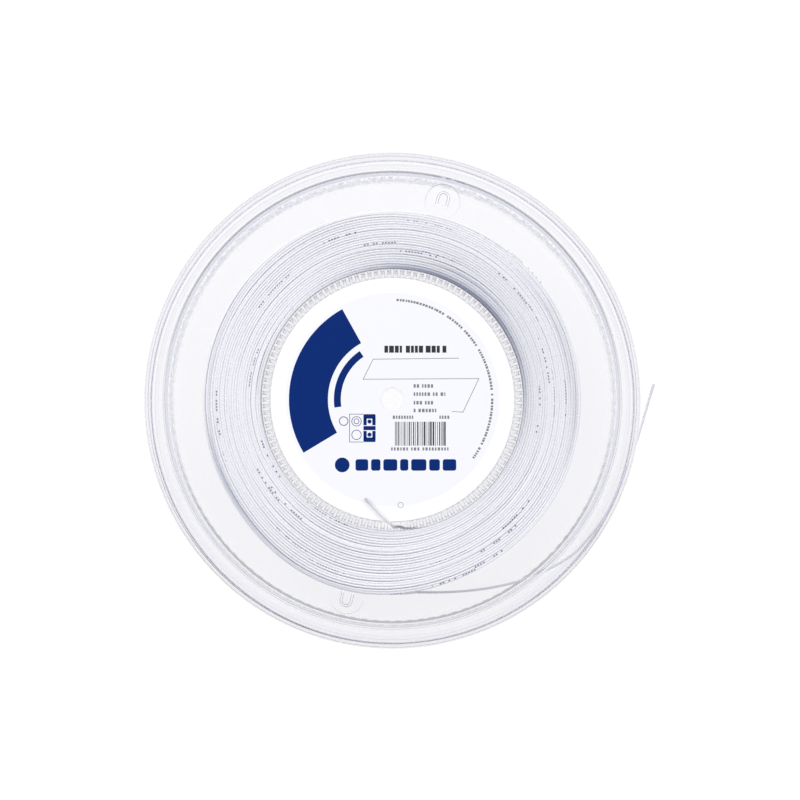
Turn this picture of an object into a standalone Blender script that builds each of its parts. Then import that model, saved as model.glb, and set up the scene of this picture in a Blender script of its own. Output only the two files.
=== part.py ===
"""String reel for racket stringing: two clear halves snapped together, 200 m of string wound on the hub.

The reel lies flat. Its axis is +Z, the origin is on that axis at the surface it lies on,
and angles run anticlockwise from +X, seen from above. Lengths are in metres.
"""

import math

import bpy
import bmesh
from mathutils import Euler, Matrix, Vector

MM = 0.001

# Driving dimensions
RIM_RADIUS = 121.4 * MM
HEIGHT = 33.4 * MM
WALL = 1.6 * MM
STEP_HEIGHT = 2.6 * MM  # the rim band stands this far proud of the web, so that the label is protected
STEP_TOP_RADIUS = 111.1 * MM
STEP_FOOT_RADIUS = 109.7 * MM
LIP_HEIGHT = 3.2 * MM
LIP_WALL = 1.4 * MM
LIP_ROUND = 2.2 * MM
SPINDLE_RADIUS = 5.55 * MM
GAP = 0.3 * MM  # between pieces that touch

# The hub: a fluted sleeve on the lower half, and a plain spigot of the upper half inside it
SLEEVE_RADIUS = 64.0 * MM
FLUTE_ROOT_RADIUS = 63.1 * MM
FLUTE_TIP_RADIUS = 60.1 * MM
FLUTE_COUNT = 122
SPIGOT_WALL = 1.6 * MM
SPIGOT_LENGTH = 10.0 * MM

# The string
STRING_DIAMETER = 1.25 * MM
WINDING_RADIUS = 93.0 * MM
BULGE = 3.2 * MM  # the last turns lie slack on one side
BULGE_ANGLE = 257.0
BULGE_HALF_WIDTH = 50.0

# The string clips: one spring tongue in each half
CLIP_RADIUS = 100.3 * MM  # where the round recess is centred
CLIP_ANGLES = {"upper": 75.8, "lower": 256.9}
RECESS_RADIUS = 8.6 * MM
RECESS_DEPTH = 0.7 * MM
TONGUE_ROOT_RADIUS = 98.0 * MM
TONGUE_LENGTH = 6.4 * MM
TONGUE_WIDTH = 4.4 * MM
TONGUE_THICKNESS = 1.4 * MM
TONGUE_SLOT = 0.7 * MM

# The gate in the hub through which the string's inner end comes out
GATE_ANGLE = 269.5
GATE_WIDTH = 13.0 * MM
GATE_DEPTH = 2.6 * MM
NOTCH_ANGLE = 272.4
NOTCH_WIDTH = 9.4 * MM
PASSAGE_ANGLE = 275.2
PASSAGE_HEIGHT = 19.3 * MM

LABEL_RADIUS = 59.5 * MM
LABEL_THICKNESS = 0.2 * MM

SEGMENTS = 80

WEB_OUTER = STEP_HEIGHT  # height of the lower web's outer face
WEB_INNER = WEB_OUTER + WALL  # and of its inner face
UPPER_WEB_INNER = HEIGHT - WEB_INNER
UPPER_WEB_OUTER = HEIGHT - WEB_OUTER

# The outer tail lies in the lower half, climbs over the lip and ends on the surface (mm)
TAIL_ROUTE = [
    (11.8, -95.3, 5.15),
    (24.0, -95.3, 5.15),
    (37.0, -94.6, 5.15),
    (49.5, -92.9, 5.15),
    (61.0, -90.3, 5.15),
    (72.3, -86.3, 4.65),
    (81.8, -81.7, 3.65),
    (88.6, -77.6, 2.75),
    (93.0, -74.0, 2.80),
    (96.6, -69.8, 3.40),
    (99.7, -66.2, 4.05),
    (103.6, -61.2, 4.10),
    (107.7, -54.8, 4.10),
    (111.6, -46.8, 4.10),
    (114.9, -39.0, 4.10),
    (117.9, -32.0, 3.95),
    (120.5, -25.2, 3.35),
    (122.7, -18.5, 2.60),
    (125.6, -9.4, 1.65),
    (128.2, -0.7, 1.00),
    (131.2, 8.8, 0.70),
]

# The inner end comes through the sleeve, up through the gate, and lies on the label (mm)
INNER_END_ROUTE = [
    (5.9, -63.1, 19.1),
    (4.4, -62.4, 20.4),
    (2.9, -62.2, 22.6),
    (1.6, -62.2, 25.0),
    (0.5, -62.3, 27.5),
    (0.0, -61.8, 29.9),
    (-1.1, -60.6, 31.7),
    (-2.9, -58.7, 32.45),
    (-6.0, -55.7, 32.4),
    (-9.6, -52.0, 32.3),
    (-13.3, -48.2, 32.3),
]


def clear_scene():
    for item in list(bpy.data.objects):
        bpy.data.objects.remove(item, do_unlink=True)


def plastic(name, colour, roughness, alpha=1.0):
    material = bpy.data.materials.new(name)
    material.use_nodes = True
    shader = material.node_tree.nodes["Principled BSDF"]
    shader.inputs["Base Color"].default_value = (*colour, 1.0)
    shader.inputs["Roughness"].default_value = roughness
    shader.inputs["Metallic"].default_value = 0.0
    shader.inputs["Alpha"].default_value = alpha
    return material


def new_object(name, bm, material=None, smooth_angle=35.0):
    """An object of the bmesh, shaded smooth up to the given angle."""
    bmesh.ops.recalc_face_normals(bm, faces=bm.faces)
    mesh = bpy.data.meshes.new(name)
    bm.to_mesh(mesh)
    bm.free()
    mesh.shade_smooth()
    mesh.set_sharp_from_angle(angle=math.radians(smooth_angle))
    item = bpy.data.objects.new(name, mesh)
    bpy.context.scene.collection.objects.link(item)
    if material is not None:
        mesh.materials.append(material)
    return item


def polar(radius, degrees, height=0.0):
    angle = math.radians(degrees)
    return Vector((radius * math.cos(angle), radius * math.sin(angle), height))


def turned(outlines):
    """A ring through a closed (radius, height) outline at each of equally spaced stations."""
    bm = bmesh.new()
    loops = []
    for i, outline in enumerate(outlines):
        angle = 360.0 * i / len(outlines)
        loops.append([bm.verts.new(polar(r, angle, z)) for r, z in outline])
    for i, loop in enumerate(loops):
        after = loops[(i + 1) % len(loops)]
        for j in range(len(loop)):
            k = (j + 1) % len(loop)
            bm.faces.new((loop[j], after[j], after[k], loop[k]))
    return bm


def prism(outline, bottom, top):
    """A closed prism over a flat (x, y) outline."""
    bm = bmesh.new()
    low = [bm.verts.new((x, y, bottom)) for x, y in outline]
    high = [bm.verts.new((x, y, top)) for x, y in outline]
    bm.faces.new(low)
    bm.faces.new(high)
    for i in range(len(outline)):
        k = (i + 1) % len(outline)
        bm.faces.new((low[i], low[k], high[k], high[i]))
    return bm


def cut(target, cutter, name):
    """Takes the cutter out of the target and leaves the cutter as a hidden guide."""
    cutter.hide_render = True
    cutter.display_type = "WIRE"
    modifier = target.modifiers.new(name, "BOOLEAN")
    modifier.operation = "DIFFERENCE"
    modifier.solver = "EXACT"
    modifier.object = cutter


def rim_outline():
    """The lower half's outline from the web's outer face, round the lip, to the web's inner face."""
    slope = (STEP_TOP_RADIUS - STEP_FOOT_RADIUS) / STEP_HEIGHT
    inner_shift = WALL * math.sqrt(1.0 + slope * slope)
    step_inner_top = STEP_FOOT_RADIUS - slope * WALL + inner_shift
    step_inner_foot = STEP_TOP_RADIUS - slope * WALL + inner_shift
    points = [(SPINDLE_RADIUS, WEB_OUTER), (STEP_FOOT_RADIUS, WEB_OUTER), (STEP_TOP_RADIUS, 0.0)]
    for degrees in (0, 30, 60, 90):
        angle = math.radians(degrees)
        r = RIM_RADIUS - LIP_ROUND + LIP_ROUND * math.sin(angle)
        points.append((r, LIP_ROUND - LIP_ROUND * math.cos(angle)))
    points.append((RIM_RADIUS, LIP_HEIGHT))
    points.append((RIM_RADIUS - LIP_WALL, LIP_HEIGHT))
    points.append((RIM_RADIUS - LIP_WALL, WALL))
    points.append((step_inner_foot, WALL))
    points.append((step_inner_top, WEB_INNER))
    return points


def half_disc(name, hub_outer, hub_inner, hub_top, material):
    """One turned half lying with its outer face down, with a plain hub wall standing on its web."""
    outline = rim_outline()
    outline += [(hub_outer, WEB_INNER), (hub_outer, hub_top)]
    outline += [(hub_inner, hub_top), (hub_inner, WEB_INNER), (SPINDLE_RADIUS, WEB_INNER)]
    return new_object(name, turned([outline] * SEGMENTS), material)


def flip_over(item):
    """Turns a half made as the lower one into the upper one."""
    for vertex in item.data.vertices:
        vertex.co.z = HEIGHT - vertex.co.z
    item.data.flip_normals()


def tongue_outline(grow, root):
    """The tongue's outline in its own frame: +X points at the rim, with the root at x = root."""
    half = TONGUE_WIDTH / 2 + grow
    centre = TONGUE_LENGTH - TONGUE_WIDTH / 2
    arc = [math.radians(-90 + 15 * i) for i in range(13)]
    outline = [(root, half), (root, -half)]
    outline += [(centre + half * math.cos(a), half * math.sin(a)) for a in arc]
    return outline


def place_at_clip(item, side, radius):
    item.location = polar(radius, CLIP_ANGLES[side])
    item.rotation_euler = Euler((0.0, 0.0, math.radians(CLIP_ANGLES[side])))


def tongue_hole(side, low, high):
    """The cutter of the window that the tongue lies in."""
    bm = prism(tongue_outline(TONGUE_SLOT, 0.0), low, high)
    cutter = new_object("guide_window_" + side, bm)
    place_at_clip(cutter, side, TONGUE_ROOT_RADIUS)
    return cutter


def recess_cutter(side, face_height, outward):
    """The cutter of the round recess round the tongue, which deepens towards the rim."""
    bm = bmesh.new()
    bmesh.ops.create_cone(
        bm, cap_ends=True, segments=48, radius1=RECESS_RADIUS, radius2=RECESS_RADIUS, depth=4 * RECESS_DEPTH
    )
    tilt = math.atan2(RECESS_DEPTH, 2 * RECESS_RADIUS)
    lift = outward * (2 * RECESS_DEPTH - RECESS_DEPTH / 2)
    bmesh.ops.rotate(bm, verts=bm.verts, matrix=Matrix.Rotation(outward * tilt, 3, "Y"))
    bmesh.ops.translate(bm, verts=bm.verts, vec=(0.0, 0.0, face_height + lift))
    cutter = new_object("guide_recess_" + side, bm)
    place_at_clip(cutter, side, CLIP_RADIUS)
    return cutter


def flute_cutter():
    """The grooves down the sleeve's inner wall, as one set of separate wedges."""
    bm = bmesh.new()
    pitch = 360.0 / FLUTE_COUNT
    low = WEB_INNER + 0.6 * MM
    high = UPPER_WEB_INNER + 1.0 * MM
    inner = FLUTE_TIP_RADIUS - 1.0 * MM
    for i in range(FLUTE_COUNT):
        start = pitch * (i - 0.25)
        stop = pitch * (i + 0.25)
        corners = [(inner, start), (FLUTE_ROOT_RADIUS, start), (FLUTE_ROOT_RADIUS, stop), (inner, stop)]
        bottom = [bm.verts.new(polar(r, a, low)) for r, a in corners]
        top = [bm.verts.new(polar(r, a, high)) for r, a in corners]
        bm.faces.new(bottom)
        bm.faces.new(top)
        for j in range(4):
            k = (j + 1) % 4
            bm.faces.new((bottom[j], bottom[k], top[k], top[j]))
    return new_object("guide_flutes", bm)


def box_cutter(name, size, centre_radius, height, degrees):
    bm = bmesh.new()
    bmesh.ops.create_cube(bm, size=1.0)
    bmesh.ops.scale(bm, verts=bm.verts, vec=size)
    cutter = new_object(name, bm)
    cutter.location = polar(centre_radius, degrees, height)
    cutter.rotation_euler = Euler((0.0, 0.0, math.radians(degrees)))
    return cutter


def notch_cutter():
    """Clears the flutes, but not the sleeve's outer wall, where the string's inner end runs."""
    inner = FLUTE_TIP_RADIUS - 0.5 * MM
    low = PASSAGE_HEIGHT - 2.0 * MM
    high = UPPER_WEB_INNER + 1.0 * MM
    size = (FLUTE_ROOT_RADIUS - inner, NOTCH_WIDTH, high - low)
    middle = (FLUTE_ROOT_RADIUS + inner) / 2
    return box_cutter("guide_notch", size, middle, (low + high) / 2, NOTCH_ANGLE)


def make_lower_half(material):
    """The back half: flange, web and the fluted sleeve that the string is wound on."""
    top = UPPER_WEB_INNER - GAP
    half = half_disc("reel_half_lower", SLEEVE_RADIUS, FLUTE_TIP_RADIUS, top, material)
    cut(half, flute_cutter(), "flutes")
    cut(half, recess_cutter("lower", WEB_OUTER, -1), "recess")
    cut(half, tongue_hole("lower", -1.0 * MM, WEB_INNER + 1.0 * MM), "window")
    cut(half, notch_cutter(), "notch")
    passage_size = (4.0 * MM, 4.4 * MM, 4.4 * MM)
    passage = box_cutter("guide_passage", passage_size, SLEEVE_RADIUS, PASSAGE_HEIGHT, PASSAGE_ANGLE)
    cut(half, passage, "passage")
    return half


def make_upper_half(material):
    """The front half: flange, web and the spigot that centres it in the sleeve."""
    outer = FLUTE_TIP_RADIUS - GAP
    spigot_end = WEB_INNER + SPIGOT_LENGTH
    half = half_disc("reel_half_upper", outer, outer - SPIGOT_WALL, spigot_end, material)
    flip_over(half)
    cut(half, recess_cutter("upper", UPPER_WEB_OUTER, 1), "recess")
    cut(half, tongue_hole("upper", UPPER_WEB_INNER - 1.0 * MM, HEIGHT + 1.0 * MM), "window")
    gate = box_cutter(
        "guide_gate",
        (GATE_DEPTH, GATE_WIDTH, 6.0 * MM),
        FLUTE_TIP_RADIUS + GATE_DEPTH / 2,
        UPPER_WEB_OUTER,
        GATE_ANGLE,
    )
    cut(half, gate, "gate")
    return half


def make_tongue(side, hinge_height, face_height, outward, material):
    """A clip tongue, parented to an empty on the line that it bends about."""
    hinge = bpy.data.objects.new("hinge_" + side, None)
    bpy.context.scene.collection.objects.link(hinge)
    hinge.location = polar(TONGUE_ROOT_RADIUS, CLIP_ANGLES[side], hinge_height)
    hinge.rotation_euler = Euler((0.0, 0.0, math.radians(CLIP_ANGLES[side])))
    flush = face_height - hinge_height
    low, high = sorted((flush, flush - outward * TONGUE_THICKNESS))
    tongue = new_object("clip_tongue_" + side, prism(tongue_outline(0.0, GAP), low, high), material)
    tongue.parent = hinge
    return tongue


def winding_radius(degrees):
    """The winding's outer radius, which swells on its slack side."""
    offset = (degrees - BULGE_ANGLE + 180.0) % 360.0 - 180.0
    if abs(offset) >= BULGE_HALF_WIDTH:
        return WINDING_RADIUS
    return WINDING_RADIUS + BULGE * math.cos(math.radians(90.0 * offset / BULGE_HALF_WIDTH)) ** 2


def make_winding(material):
    """The wound string as one ring, with edges rounded by the turns that stack there."""
    low = WEB_INNER + GAP
    high = UPPER_WEB_INNER - GAP
    inner = SLEEVE_RADIUS + 0.4 * MM
    edge = 1.2 * MM
    outlines = []
    for i in range(SEGMENTS):
        outer = winding_radius(360.0 * i / SEGMENTS)
        outlines.append(
            [
                (inner, high),
                (inner, low),
                (outer - edge, low),
                (outer, low + edge),
                (outer, high - edge),
                (outer - edge, high),
            ]
        )
    return new_object("string_winding", turned(outlines), material)


def make_label(material):
    low = UPPER_WEB_OUTER + GAP
    high = low + LABEL_THICKNESS
    hole = SPINDLE_RADIUS + GAP
    outline = [(hole, low), (LABEL_RADIUS, low), (LABEL_RADIUS, high), (hole, high)]
    return new_object("front_label", turned([outline] * SEGMENTS), material)


def smooth_route(points, spacing):
    """Points evenly spaced along a smooth curve through the route (Catmull-Rom, chord-length knots)."""
    route = [Vector(p) * MM for p in points]
    route = [2 * route[0] - route[1]] + route + [2 * route[-1] - route[-2]]
    fine = []
    for a, b, c, d in zip(route, route[1:], route[2:], route[3:]):
        knots = [0.0]
        for p, q in ((a, b), (b, c), (c, d)):
            knots.append(knots[-1] + (q - p).length ** 0.5)
        for step in range(16):
            t = knots[1] + (knots[2] - knots[1]) * step / 16
            ab = a.lerp(b, (t - knots[0]) / (knots[1] - knots[0]))
            bc = b.lerp(c, (t - knots[1]) / (knots[2] - knots[1]))
            cd = c.lerp(d, (t - knots[2]) / (knots[3] - knots[2]))
            abc = ab.lerp(bc, (t - knots[0]) / (knots[2] - knots[0]))
            bcd = bc.lerp(cd, (t - knots[1]) / (knots[3] - knots[1]))
            fine.append(abc.lerp(bcd, (t - knots[1]) / (knots[2] - knots[1])))
    fine.append(route[-2])
    lengths = [0.0]
    for p, q in zip(fine, fine[1:]):
        lengths.append(lengths[-1] + (q - p).length)
    count = max(4, round(lengths[-1] / spacing))
    spaced = []
    at = 0
    for i in range(count + 1):
        wanted = lengths[-1] * i / count
        while at < len(fine) - 2 and lengths[at + 1] < wanted:
            at += 1
        share = (wanted - lengths[at]) / (lengths[at + 1] - lengths[at])
        spaced.append(fine[at].lerp(fine[at + 1], share))
    return spaced


def make_cord(name, route, material):
    """A round string along a route, as a bevelled curve with filled ends."""
    points = smooth_route(route, 2.6 * STRING_DIAMETER)
    curve = bpy.data.curves.new(name, "CURVE")
    curve.dimensions = "3D"
    curve.bevel_depth = STRING_DIAMETER / 2
    curve.bevel_resolution = 2
    curve.use_fill_caps = True
    spline = curve.splines.new("POLY")
    spline.points.add(len(points) - 1)
    for target, point in zip(spline.points, points):
        target.co = (*point, 1.0)
    cord = bpy.data.objects.new(name, curve)
    bpy.context.scene.collection.objects.link(cord)
    curve.materials.append(material)
    return cord


def main():
    clear_scene()
    clear_plastic = plastic("clear_polystyrene", (0.93, 0.95, 0.97), 0.06, alpha=0.3)
    string = plastic("white_polyester", (0.86, 0.88, 0.91), 0.3)
    paper = plastic("label_film", (0.95, 0.95, 0.96), 0.45)
    make_lower_half(clear_plastic)
    make_upper_half(clear_plastic)
    make_tongue("lower", WEB_OUTER + WALL / 2, WEB_OUTER, -1, clear_plastic)
    make_tongue("upper", UPPER_WEB_OUTER - WALL / 2, UPPER_WEB_OUTER, 1, clear_plastic)
    make_label(paper)
    make_winding(string)
    make_cord("string_outer_tail", TAIL_ROUTE, string)
    make_cord("string_inner_end", INNER_END_ROUTE, string)


main()
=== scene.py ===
"""The looks of the string reel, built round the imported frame.

The reel lies flat. Its axis is +Z, the origin is on that axis at the surface it lies on,
and angles run anticlockwise from +X, seen from above. Lengths are in metres.
"""

import math
import random

import bmesh
import bpy
import numpy as np
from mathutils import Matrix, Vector


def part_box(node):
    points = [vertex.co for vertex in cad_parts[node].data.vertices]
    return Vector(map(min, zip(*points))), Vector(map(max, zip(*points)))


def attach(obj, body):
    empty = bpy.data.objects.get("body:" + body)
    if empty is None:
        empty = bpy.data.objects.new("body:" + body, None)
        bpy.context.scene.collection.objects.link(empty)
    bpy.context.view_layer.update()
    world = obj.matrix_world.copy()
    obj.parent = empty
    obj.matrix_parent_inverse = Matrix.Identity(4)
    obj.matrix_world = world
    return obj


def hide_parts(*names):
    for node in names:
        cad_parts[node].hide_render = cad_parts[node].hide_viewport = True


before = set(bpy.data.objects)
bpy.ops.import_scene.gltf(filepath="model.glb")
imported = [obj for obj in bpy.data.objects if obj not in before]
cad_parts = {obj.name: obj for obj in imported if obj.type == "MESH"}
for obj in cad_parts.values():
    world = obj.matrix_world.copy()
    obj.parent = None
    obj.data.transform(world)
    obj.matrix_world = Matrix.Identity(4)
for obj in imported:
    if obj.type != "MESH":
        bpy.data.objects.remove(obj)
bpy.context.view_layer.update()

MM = 0.001

# Sizes read from the frame
RIM_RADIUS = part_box("reel_half_lower")[1].x
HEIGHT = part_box("reel_half_upper")[1].z
LABEL_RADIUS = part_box("front_label")[1].x
LABEL_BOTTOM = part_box("front_label")[0].z
LABEL_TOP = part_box("front_label")[1].z
WINDING_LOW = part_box("string_winding")[0].z
WINDING_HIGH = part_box("string_winding")[1].z
WINDING_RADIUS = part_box("string_winding")[1].x

# The moulded halves, as in the part
WALL = 1.6 * MM
STEP_HEIGHT = 2.6 * MM
STEP_TOP_RADIUS = 111.1 * MM
STEP_FOOT_RADIUS = 109.7 * MM
LIP_HEIGHT = 3.2 * MM
LIP_WALL = 1.4 * MM
LIP_ROUND = 2.2 * MM
SPINDLE_RADIUS = 5.55 * MM
GAP = 0.3 * MM
SLEEVE_RADIUS = 64.0 * MM
FLUTE_ROOT_RADIUS = 63.1 * MM
FLUTE_TIP_RADIUS = 60.1 * MM
FLUTE_COUNT = 122
FLUTE_FLOOR = 0.6 * MM  # the grooves stop this far above the web
STEP_RIB = 0.22 * MM  # fine ribs on the back half's step, one to each flute
SPIGOT_WALL = 1.6 * MM
SPIGOT_LENGTH = 10.0 * MM
FILLET = 0.35 * MM  # on the corners of the moulding
FINE_FILLET = 0.18 * MM  # on its thin edges
TOOTH_FILLET = 0.2 * MM  # on the flutes' top edges
EDGE = 0.3 * MM  # round the clips
LABEL_ROUND = 0.06 * MM
INK_THICKNESS = 0.03 * MM
SHARP = 40.0  # edges at more than this many degrees stay sharp in the shading

# The clips, the gate and the passage, as in the part
CLIP_RADIUS = 100.3 * MM
CLIP_ANGLES = {"upper": 75.8, "lower": 256.9}
RECESS_RADIUS = 8.6 * MM
RECESS_DEPTH = 0.7 * MM
RECESS_SLOPE = 0.25 * MM  # how far its wall leans in where it is deepest
TONGUE_ROOT_RADIUS = 98.0 * MM
TONGUE_LENGTH = 6.4 * MM
TONGUE_WIDTH = 4.4 * MM
TONGUE_THICKNESS = 1.4 * MM
TONGUE_SLOT = 0.7 * MM
RELIEF_RADIUS = 0.8 * MM  # round holes at the ends of the slot's legs
GATE_ANGLE = 269.5
GATE_WIDTH = 13.0 * MM
GATE_DEPTH = 2.6 * MM
NOTCH_ANGLE = 272.4
NOTCH_WIDTH = 9.4 * MM
PASSAGE_ANGLE = 275.2
PASSAGE_HEIGHT = 19.3 * MM
PASSAGE_WIDTH = 4.4 * MM

WEB_OUTER = STEP_HEIGHT
WEB_INNER = WEB_OUTER + WALL
UPPER_WEB_INNER = HEIGHT - WEB_INNER
UPPER_WEB_OUTER = HEIGHT - WEB_OUTER

# How the plastic's colour changes with the radius. Past the plain colour of the plastic, these are painted
# shade: the grey step and the lines beside it, the lilac band inside the rim, the lines at its edges and the
# darker lip
PLASTIC_TINT = (0.985, 0.983, 0.994)
STEP_PAINTED_SHADE = (0.66, 0.68, 0.76)
STEP_EDGE_PAINTED_SHADE = (0.78, 0.79, 0.85)
BAND_PAINTED_SHADE = (0.87, 0.86, 0.91)
BAND_LINE_PAINTED_SHADE = (0.60, 0.60, 0.67)
RIM_PAINTED_SHADE = (0.955, 0.95, 0.97)
RIM_EDGE_PAINTED_SHADE = (0.70, 0.69, 0.74)
# Painted reflection: darker short dashes beside the back half's step
DASH_PAINTED_REFLECTION = (0.68, 0.69, 0.77)  # in short dashes beside the back half's step
DASH_REFLECTION_BAND = 3.5 * MM

# The string
STRING_RADIUS = 0.625 * MM
TURNS = 405
TURNS_PER_LAYER = 17.31
FLANGE_TURNS = 1.0  # of each layer's turns, at either end, lie flat against the flange
POINTS_PER_TURN = 96
BULGE = 3.2 * MM
BULGE_ANGLE = 257.0
BULGE_HALF_WIDTH = 50.0
WINDING_PIECES = 4
PAST_DASHES = 30 * MM  # a group of printed dashes starts at 0, so the free ends' maps start past it

# The free stretches of string follow the part's routes (mm)
TAIL_ROUTE = [
    (11.8, -95.3, 5.15),
    (24.0, -95.3, 5.15),
    (37.0, -94.6, 5.15),
    (49.5, -92.9, 5.15),
    (61.0, -90.3, 5.15),
    (72.3, -86.3, 4.65),
    (81.8, -81.7, 3.65),
    (88.6, -77.6, 2.75),
    (93.0, -74.0, 2.80),
    (96.6, -69.8, 3.40),
    (99.7, -66.2, 4.05),
    (103.6, -61.2, 4.10),
    (107.7, -54.8, 4.10),
    (111.6, -46.8, 4.10),
    (114.9, -39.0, 4.10),
    (117.9, -32.0, 3.95),
    (120.5, -25.2, 3.35),
    (122.7, -18.5, 2.60),
    (125.6, -9.4, 1.65),
    (128.2, -0.7, 1.00),
    (131.2, 8.8, 0.70),
]
INNER_END_ROUTE = [
    (5.9, -63.1, 19.1),
    (4.4, -62.4, 20.4),
    (2.9, -62.2, 22.6),
    (1.6, -62.2, 25.0),
    (0.5, -62.3, 27.5),
    (0.0, -61.8, 29.9),
    (-1.1, -60.6, 31.7),
    (-2.9, -58.7, 32.45),
    (-6.0, -55.7, 32.4),
    (-9.6, -52.0, 32.3),
    (-13.3, -48.2, 32.3),
]


# Geometry


def put_at(item, radius, degrees, height=0.0):
    """Puts an item out from the axis at an angle, turned to look that way."""
    angle = math.radians(degrees)
    item.location = (radius * math.cos(angle), radius * math.sin(angle), height)
    item.rotation_euler = (0.0, 0.0, angle)


def link(name, mesh, *materials):
    item = bpy.data.objects.new(name, mesh)
    bpy.context.scene.collection.objects.link(item)
    for material in materials:
        mesh.materials.append(material)
    return item


def grid_mesh(name, grid, rows_closed=False, lengths=None):
    """A mesh over rows of closed rings of points. Open rows end in caps. lengths gives each row's place
    along the piece for the "along" map, whose other axis runs once round the ring."""
    rows, ring = grid.shape[:2]
    index = np.arange(rows * ring, dtype=np.int32).reshape(rows, ring)
    low = index if rows_closed else index[:-1]
    high = np.roll(index, -1, axis=0) if rows_closed else index[1:]
    quads = np.stack([low, high, np.roll(high, -1, axis=1), np.roll(low, -1, axis=1)], axis=-1)
    corners = [quads.reshape(-1)]
    starts = list(range(0, quads.size, 4))
    if not rows_closed:
        corners += [index[0], index[-1][::-1]]
        starts += [quads.size, quads.size + ring]
    corners = np.concatenate(corners)
    mesh = bpy.data.meshes.new(name)
    mesh.vertices.add(rows * ring)
    mesh.vertices.foreach_set("co", grid.astype(np.float32).reshape(-1))
    mesh.loops.add(len(corners))
    mesh.loops.foreach_set("vertex_index", corners)
    mesh.polygons.add(len(starts))
    mesh.polygons.foreach_set("loop_start", np.array(starts, dtype=np.int32))
    if lengths is not None:
        along = np.repeat(np.asarray(lengths, dtype=np.float32), ring)[corners]
        place = (corners % ring).astype(np.float32) / ring
        wraps = place[: quads.size].reshape(-1, 4)
        wraps[:, 2:][wraps[:, 2:] == 0.0] = 1.0
        layer = mesh.uv_layers.new(name="along")
        layer.data.foreach_set("uv", np.stack([along, place], axis=-1).reshape(-1))
    mesh.update(calc_edges=True)
    mesh.validate()
    return mesh


def shade(mesh, degrees):
    mesh.shade_smooth()
    mesh.set_sharp_from_angle(angle=math.radians(degrees))
    return mesh


def running_lengths(points):
    """How far along the points each one lies."""
    lengths = [0.0]
    for p, q in zip(points, points[1:]):
        lengths.append(lengths[-1] + (q - p).length)
    return lengths


def filleted(outline, steps=3):
    """A closed (radius, height, fillet) outline as plain points, with its filleted corners rounded."""
    points = []
    for i, (r, z, fillet) in enumerate(outline):
        corner = Vector((r, z))
        before = Vector(outline[i - 1][:2]) - corner
        after = Vector(outline[(i + 1) % len(outline)][:2]) - corner
        size = min(fillet, 0.4 * before.length, 0.4 * after.length)
        if size <= 0.0:
            points.append((r, z))
            continue
        start = corner + before.normalized() * size
        end = corner + after.normalized() * size
        for step in range(steps + 1):
            t = step / steps
            on = start * (1 - t) ** 2 + corner * 2 * t * (1 - t) + end * t**2
            points.append((on.x, on.y))
    return points


def turned_mesh(name, outlines, degrees=None):
    """A ring through one closed (radius, height) outline at each of the angles, which are even by default."""
    if degrees is None:
        degrees = [360.0 * i / len(outlines) for i in range(len(outlines))]
    radius, height = np.moveaxis(np.array(outlines), -1, 0)
    angle = np.radians(np.array(degrees))[:, None]
    grid = np.stack([radius * np.cos(angle), radius * np.sin(angle), height], axis=-1)
    return shade(grid_mesh(name, grid, rows_closed=True), SHARP)


def round_outline(x, y, radius, steps):
    angles = [2 * math.pi * i / steps for i in range(steps)]
    return [(x + radius * math.cos(a), y + radius * math.sin(a)) for a in angles]


def raised(outline, height):
    """A flat (x, y) outline at a height."""
    return [(x, y, height) for x, y in outline]


def from_bmesh(name, bm, *materials):
    mesh = bpy.data.meshes.new(name)
    bm.to_mesh(mesh)
    bm.free()
    return link(name, mesh, *materials)


def lofted(name, lofts, *materials, side_material=0):
    """An object of closed solids, each through rings of equally many points."""
    bm = bmesh.new()
    for rings in lofts:
        loops = [[bm.verts.new(p) for p in ring] for ring in rings]
        bm.faces.new(loops[0])
        bm.faces.new(loops[-1])
        for low, high in zip(loops, loops[1:]):
            for i in range(len(low)):
                k = (i + 1) % len(low)
                bm.faces.new((low[i], low[k], high[k], high[i])).material_index = side_material
    bmesh.ops.recalc_face_normals(bm, faces=bm.faces)
    return from_bmesh(name, bm, *materials)


def baked(item):
    """Applies the object's modifiers."""
    bpy.context.view_layer.update()
    evaluated = item.evaluated_get(bpy.context.evaluated_depsgraph_get())
    mesh = bpy.data.meshes.new_from_object(evaluated)
    item.modifiers.clear()
    old = item.data
    item.data = mesh
    bpy.data.meshes.remove(old)
    mesh.name = item.name
    return item


def cut(target, cutters):
    """Takes the cutters out of the target and removes them."""
    for cutter in cutters:
        modifier = target.modifiers.new(cutter.name, "BOOLEAN")
        modifier.operation = "DIFFERENCE"
        modifier.solver = "EXACT"
        modifier.material_mode = "TRANSFER"
        modifier.object = cutter
    baked(target)
    for cutter in cutters:
        bpy.data.objects.remove(cutter, do_unlink=True)
    shade(target.data, SHARP)


def keep_flats(item):
    """Lets big flat faces decide the shading at their corners, so that they look flat beside small rounds."""
    modifier = item.modifiers.new("flats", "WEIGHTED_NORMAL")
    modifier.mode = "FACE_AREA"
    modifier.keep_sharp = True
    baked(item)


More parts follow.
